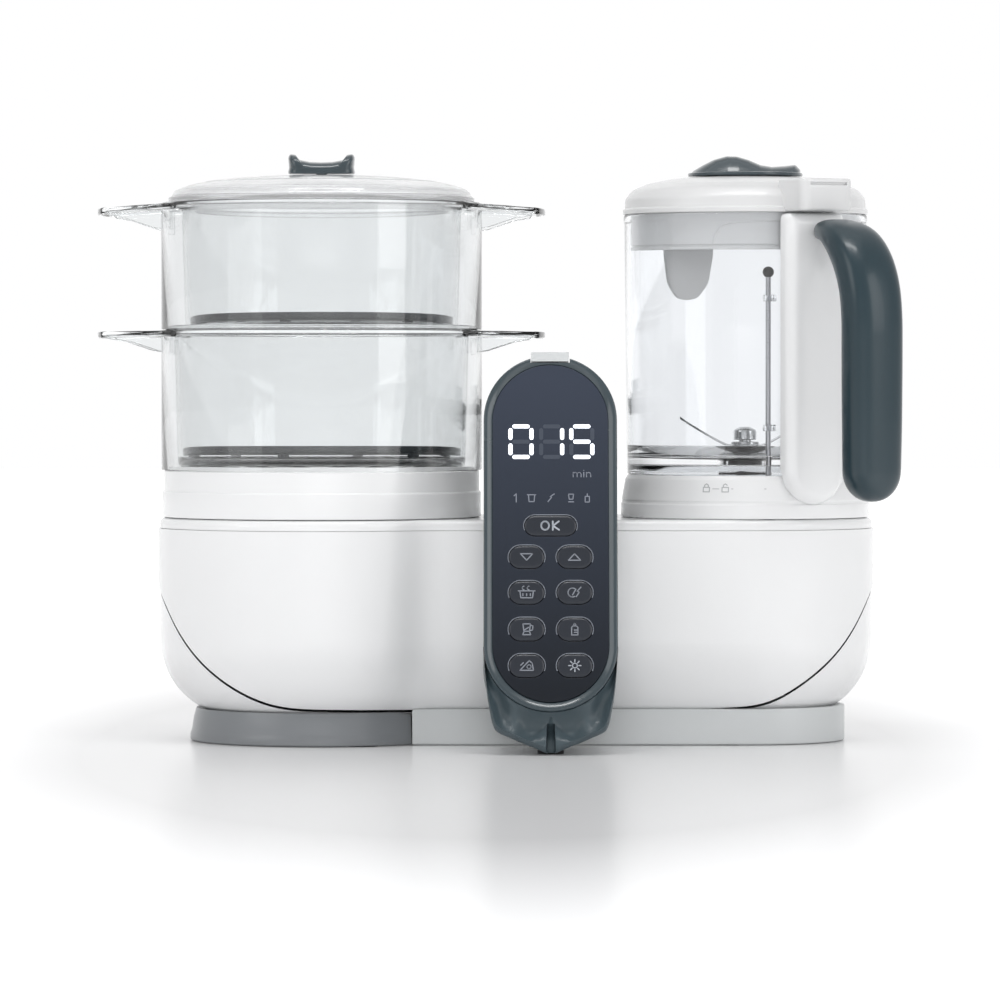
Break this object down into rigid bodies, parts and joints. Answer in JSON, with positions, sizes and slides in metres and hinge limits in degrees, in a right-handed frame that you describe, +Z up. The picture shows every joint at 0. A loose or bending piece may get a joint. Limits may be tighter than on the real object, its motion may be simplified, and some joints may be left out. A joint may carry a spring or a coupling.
{
  "type": "baby food maker",
  "caption": "Counter-top baby food maker: a stacked clear steamer and a lidded blender jar on one white base, with a leaning slate key panel between them.",
  "frame": {"origin": "middle of the object's footprint, on the table", "axes": "+X from the steamer to the blender, -Y to the front, +Z up"},
  "size_m": [0.3732, 0.1993, 0.276],
  "materials": {
    "white_gloss": "gloss moulded",
    "light_grey_plastic": "satin moulded",
    "grey_plastic": "satin moulded",
    "slate_plastic": "satin moulded",
    "panel_gloss": "high gloss tinted window",
    "display": "display block",
    "key_plastic": "gloss key caps",
    "circuit_board": "solder mask",
    "clear_plastic": "clear moulded",
    "tray_plastic": "dark satin",
    "black_plastic": "satin",
    "silicone": "soft translucent",
    "rubber": "matt",
    "steel": "plated",
    "blade_steel": "ground edge",
    "pan_steel": "spun"
  },
  "bodies": {
    "base": {"front_shell": "white_gloss", "rear_shell": "white_gloss", "top_deck": "white_gloss", "bottom_plate": "grey_plastic", "pedestal_left": "grey_plastic", "pedestal_right": "light_grey_plastic", "rubber_feet": "rubber", "housing_screws": "steel", "control_casing": "slate_plastic", "panel_chin": "slate_plastic", "panel_lens": "panel_gloss", "display_module": "display", "control_board": "circuit_board", "motor_can": "steel", "motor_mount": "grey_plastic", "safety_switch": "black_plastic", "heater_pan": "pan_steel", "pan_gasket": "silicone", "thermostat": "steel", "water_hose": "silicone", "power_board": "circuit_board", "cord_gland": "black_plastic"},
    "motor": {"motor_rotor": "steel", "cooling_fan": "black_plastic", "drive_coupler": "black_plastic"},
    "plunger": {"interlock_plunger": "black_plastic"},
    "bowl": {"juice_bowl": "white_gloss"},
    "low_basket": {"lower_basket": "clear_plastic"},
    "low_tray": {"lower_tray": "tray_plastic"},
    "high_basket": {"upper_basket": "clear_plastic"},
    "high_tray": {"upper_tray": "tray_plastic"},
    "tower_lid": {"steamer_lid": "clear_plastic", "lid_handle": "slate_plastic"},
    "blender_jar": {"jar": "clear_plastic", "jar_collar": "white_gloss", "blade_holder": "black_plastic", "blade_nut": "black_plastic", "blade_seal": "silicone", "handle_bracket": "white_gloss", "handle_grip": "slate_plastic", "handle_screws": "steel"},
    "knife": {"blade_shaft": "blade_steel", "jar_coupling": "black_plastic", "blades": "blade_steel"},
    "rod": {"interlock_rod": "steel"},
    "blender_lid": {"jar_lid": "white_gloss"},
    "cap": {"filler_cap": "slate_plastic"},
    "tank": {"water_tank": "clear_plastic", "tank_cover": "light_grey_plastic"},
    "valve": {"tank_valve": "black_plastic"},
    "plug": {"fill_plug": "light_grey_plastic"},
    "key_ok_body": {"key_ok": "key_plastic"},
    "key_down_body": {"key_down": "key_plastic"},
    "key_up_body": {"key_up": "key_plastic"},
    "key_steam_body": {"key_steam": "key_plastic"},
    "key_defrost_body": {"key_defrost": "key_plastic"},
    "key_blend_body": {"key_blend": "key_plastic"},
    "key_bottle_body": {"key_bottle": "key_plastic"},
    "key_sterilise_body": {"key_sterilise": "key_plastic"},
    "key_light_body": {"key_light": "key_plastic"}
  },
  "joints": [
    {"name": "bowl_lift", "type": "slide", "parent": "base", "child": "bowl", "axis": [0, 0, 1], "range_m": [0, 0.03]},
    {"name": "lower_basket_lift", "type": "slide", "parent": "bowl", "child": "low_basket", "axis": [0, 0, 1], "range_m": [0, 0.04]},
    {"name": "lower_tray_lift", "type": "slide", "parent": "low_basket", "child": "low_tray", "axis": [0, 0, 1], "range_m": [0, 0.045]},
    {"name": "upper_basket_lift", "type": "slide", "parent": "low_basket", "child": "high_basket", "axis": [0, 0, 1], "range_m": [0, 0.04]},
    {"name": "upper_tray_lift", "type": "slide", "parent": "high_basket", "child": "high_tray", "axis": [0, 0, 1], "range_m": [0, 0.042]},
    {"name": "steamer_lid_lift", "type": "slide", "parent": "high_basket", "child": "tower_lid", "axis": [0, 0, 1], "range_m": [0, 0.04]},
    {"name": "jar_lift", "type": "slide", "parent": "base", "child": "blender_jar", "axis": [0, 0, 1], "range_m": [0, 0.05]},
    {"name": "jar_lid_lift", "type": "slide", "parent": "blender_jar", "child": "blender_lid", "axis": [0, 0, 1], "range_m": [0, 0.05]},
    {"name": "filler_cap_lift", "type": "slide", "parent": "blender_lid", "child": "cap", "axis": [0, 0, 1], "range_m": [0, 0.02]},
    {"name": "motor_spin", "type": "hinge", "parent": "base", "child": "motor", "pos_m": [0.1182, 0.0234, 0.06], "axis": [0, 0, 1], "continuous": true},
    {"name": "knife_spin", "type": "hinge", "parent": "blender_jar", "child": "knife", "pos_m": [0.1182, 0.0234, 0.14], "axis": [0, 0, 1], "continuous": true},
    {"name": "rod_slide", "type": "slide", "parent": "blender_jar", "child": "rod", "axis": [0, 0, 1], "range_m": [-0.0025, 0], "stiffness_N_per_m": 250, "springref_m": 0.0008},
    {"name": "plunger_slide", "type": "slide", "parent": "base", "child": "plunger", "axis": [0, 0, 1], "range_m": [-0.0025, 0], "stiffness_N_per_m": 150, "springref_m": 0.0004},
    {"name": "tank_slide", "type": "slide", "parent": "base", "child": "tank", "axis": [0, 1, 0], "range_m": [0, 0.12]},
    {"name": "tank_valve_slide", "type": "slide", "parent": "tank", "child": "valve", "axis": [0, 1, 0], "range_m": [0, 0.0015], "stiffness_N_per_m": 200},
    {"name": "fill_plug_lift", "type": "slide", "parent": "tank", "child": "plug", "axis": [0, 0, 1], "range_m": [0, 0.02]},
    {"name": "key_ok_press", "type": "slide", "parent": "base", "child": "key_ok_body", "axis": [0, 0.9659, -0.2588], "range_m": [0, 0.0008], "stiffness_N_per_m": 400},
    {"name": "key_down_press", "type": "slide", "parent": "base", "child": "key_down_body", "axis": [0, 0.9659, -0.2588], "range_m": [0, 0.0008], "stiffness_N_per_m": 400},
    {"name": "key_up_press", "type": "slide", "parent": "base", "child": "key_up_body", "axis": [0, 0.9659, -0.2588], "range_m": [0, 0.0008], "stiffness_N_per_m": 400},
    {"name": "key_steam_press", "type": "slide", "parent": "base", "child": "key_steam_body", "axis": [0, 0.9659, -0.2588], "range_m": [0, 0.0008], "stiffness_N_per_m": 400},
    {"name": "key_defrost_press", "type": "slide", "parent": "base", "child": "key_defrost_body", "axis": [0, 0.9659, -0.2588], "range_m": [0, 0.0008], "stiffness_N_per_m": 400},
    {"name": "key_blend_press", "type": "slide", "parent": "base", "child": "key_blend_body", "axis": [0, 0.9659, -0.2588], "range_m": [0, 0.0008], "stiffness_N_per_m": 400},
    {"name": "key_bottle_press", "type": "slide", "parent": "base", "child": "key_bottle_body", "axis": [0, 0.9659, -0.2588], "range_m": [0, 0.0008], "stiffness_N_per_m": 400},
    {"name": "key_sterilise_press", "type": "slide", "parent": "base", "child": "key_sterilise_body", "axis": [0, 0.9659, -0.2588], "range_m": [0, 0.0008], "stiffness_N_per_m": 400},
    {"name": "key_light_press", "type": "slide", "parent": "base", "child": "key_light_body", "axis": [0, 0.9659, -0.2588], "range_m": [0, 0.0008], "stiffness_N_per_m": 400}
  ],
  "couplings": [
    {"joint": "knife_spin", "follows": "motor_spin", "ratio": 1},
    {"joint": "plunger_slide", "follows": "rod_slide", "ratio": 1}
  ]
}
